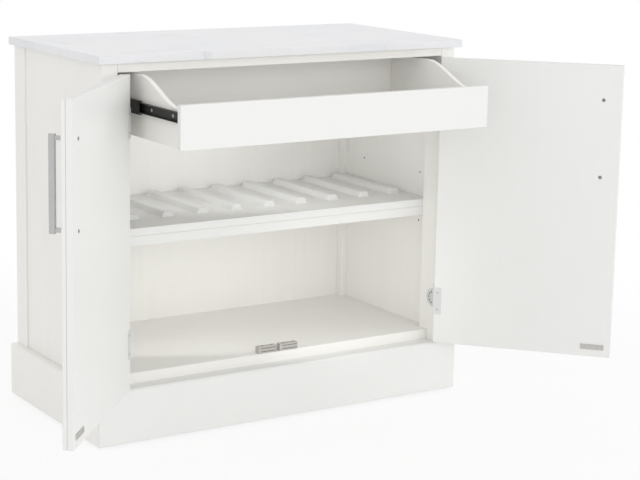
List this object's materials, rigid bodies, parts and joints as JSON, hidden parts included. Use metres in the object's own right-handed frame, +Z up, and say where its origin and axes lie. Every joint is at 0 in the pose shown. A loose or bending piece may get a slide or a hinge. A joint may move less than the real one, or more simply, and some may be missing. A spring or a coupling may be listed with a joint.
{
  "type": "mobile bar cabinet",
  "caption": "White mobile bar cabinet with a pale stone top, both doors open on wrap hinges, an inner drawer on ball-bearing slides and a bottle rack shelf.",
  "frame": {"origin": "middle of the bounding box's base, on the floor, doors open and drawer part way out", "axes": "+X to the right seen from the front, +Y to the back, +Z up"},
  "size_m": [1.5104, 0.8532, 0.914],
  "materials": {
    "white_paint": "warm white satin lacquer",
    "pale_stone": "honed white marble with fine grey veins",
    "satin_nickel": "satin nickel",
    "hinge_steel": "nickel-plated steel",
    "black_steel": "black electro-coat",
    "zinc_steel": "bright zinc",
    "grey_rubber": "dark grey rubber"
  },
  "bodies": {
    "cabinet": {"back_panel": "white_paint", "bottle_rack": "white_paint", "bottom_front_rail": "white_paint", "floor_panel": "white_paint", "front_left_post": "white_paint", "front_left_shelf_support": "hinge_steel", "front_right_post": "white_paint", "front_right_shelf_support": "hinge_steel", "left_catch": "hinge_steel", "left_lower_hinge_post_leaf": "hinge_steel", "left_side_panel": "white_paint", "left_slide_batten": "white_paint", "left_slide_cabinet_member": "black_steel", "left_upper_hinge_post_leaf": "hinge_steel", "plinth_front": "white_paint", "plinth_left": "white_paint", "plinth_rear": "white_paint", "plinth_right": "white_paint", "rear_left_post": "white_paint", "rear_left_shelf_support": "hinge_steel", "rear_right_post": "white_paint", "rear_right_shelf_support": "hinge_steel", "right_catch": "hinge_steel", "right_lower_hinge_post_leaf": "hinge_steel", "right_side_panel": "white_paint", "right_slide_batten": "white_paint", "right_slide_cabinet_member": "black_steel", "right_upper_hinge_post_leaf": "hinge_steel", "shelf_board": "white_paint", "stone_top": "pale_stone", "top_front_rail": "white_paint"},
    "left_door": {"left_door_panel": "white_paint", "left_door_frame": "white_paint", "left_door_handle": "satin_nickel", "left_door_strike": "hinge_steel", "left_lower_hinge_door_leaf": "hinge_steel", "left_upper_hinge_door_leaf": "hinge_steel"},
    "right_door": {"right_door_panel": "white_paint", "right_door_frame": "white_paint", "right_door_handle": "satin_nickel", "right_door_strike": "hinge_steel", "right_lower_hinge_door_leaf": "hinge_steel", "right_upper_hinge_door_leaf": "hinge_steel"},
    "drawer": {"drawer_front": "white_paint", "drawer_left_side": "white_paint", "drawer_right_side": "white_paint", "drawer_back": "white_paint", "drawer_bottom": "white_paint", "left_slide_drawer_member": "black_steel", "right_slide_drawer_member": "black_steel"},
    "left_middle_slide": {"left_slide_middle_member": "black_steel"},
    "right_middle_slide": {"right_slide_middle_member": "black_steel"},
    "front_left_castor_swivel": {"front_left_castor_fork": "zinc_steel"},
    "front_left_castor_roller": {"front_left_castor_wheel": "grey_rubber"},
    "front_right_castor_swivel": {"front_right_castor_fork": "zinc_steel"},
    "front_right_castor_roller": {"front_right_castor_wheel": "grey_rubber"},
    "rear_left_castor_swivel": {"rear_left_castor_fork": "zinc_steel"},
    "rear_left_castor_roller": {"rear_left_castor_wheel": "grey_rubber"},
    "rear_right_castor_swivel": {"rear_right_castor_fork": "zinc_steel"},
    "rear_right_castor_roller": {"rear_right_castor_wheel": "grey_rubber"}
  },
  "joints": [
    {"name": "left_door_hinge", "type": "hinge", "parent": "cabinet", "child": "left_door", "pos_m": [-0.4545, -0.07091, 0.5045], "axis": [0, 0, -1], "range_deg": [-42, 43]},
    {"name": "right_door_hinge", "type": "hinge", "parent": "cabinet", "child": "right_door", "pos_m": [0.4545, -0.07091, 0.5045], "axis": [0, 0, 1], "range_deg": [-42, 43]},
    {"name": "drawer_slide", "type": "slide", "parent": "cabinet", "child": "drawer", "axis": [0, -1, 0], "range_m": [-0.265, 0.085]},
    {"name": "left_middle_slide", "type": "slide", "parent": "cabinet", "child": "left_middle_slide", "axis": [0, -1, 0], "range_m": [-0.1325, 0.0425]},
    {"name": "right_middle_slide", "type": "slide", "parent": "cabinet", "child": "right_middle_slide", "axis": [0, -1, 0], "range_m": [-0.1325, 0.0425]},
    {"name": "front_left_castor_swivel_joint", "type": "hinge", "parent": "cabinet", "child": "front_left_castor_swivel", "pos_m": [-0.4215, 0.00329, 0.1], "axis": [0, 0, 1], "continuous": true},
    {"name": "front_left_castor_axle_joint", "type": "hinge", "parent": "front_left_castor_swivel", "child": "front_left_castor_roller", "pos_m": [-0.4215, 0.02929, 0.0375], "axis": [1, 0, 0], "continuous": true},
    {"name": "front_right_castor_swivel_joint", "type": "hinge", "parent": "cabinet", "child": "front_right_castor_swivel", "pos_m": [0.4215, 0.00329, 0.1], "axis": [0, 0, 1], "continuous": true},
    {"name": "front_right_castor_axle_joint", "type": "hinge", "parent": "front_right_castor_swivel", "child": "front_right_castor_roller", "pos_m": [0.4215, 0.02929, 0.0375], "axis": [1, 0, 0], "continuous": true},
    {"name": "rear_left_castor_swivel_joint", "type": "hinge", "parent": "cabinet", "child": "rear_left_castor_swivel", "pos_m": [-0.4215, 0.33479, 0.1], "axis": [0, 0, 1], "continuous": true},
    {"name": "rear_left_castor_axle_joint", "type": "hinge", "parent": "rear_left_castor_swivel", "child": "rear_left_castor_roller", "pos_m": [-0.4215, 0.36079, 0.0375], "axis": [1, 0, 0], "continuous": true},
    {"name": "rear_right_castor_swivel_joint", "type": "hinge", "parent": "cabinet", "child": "rear_right_castor_swivel", "pos_m": [0.4215, 0.33479, 0.1], "axis": [0, 0, 1], "continuous": true},
    {"name": "rear_right_castor_axle_joint", "type": "hinge", "parent": "rear_right_castor_swivel", "child": "rear_right_castor_roller", "pos_m": [0.4215, 0.36079, 0.0375], "axis": [1, 0, 0], "continuous": true}
  ],
  "couplings": [
    {"joint": "left_middle_slide", "follows": "drawer_slide", "ratio": 0.5},
    {"joint": "right_middle_slide", "follows": "drawer_slide", "ratio": 0.5}
  ]
}
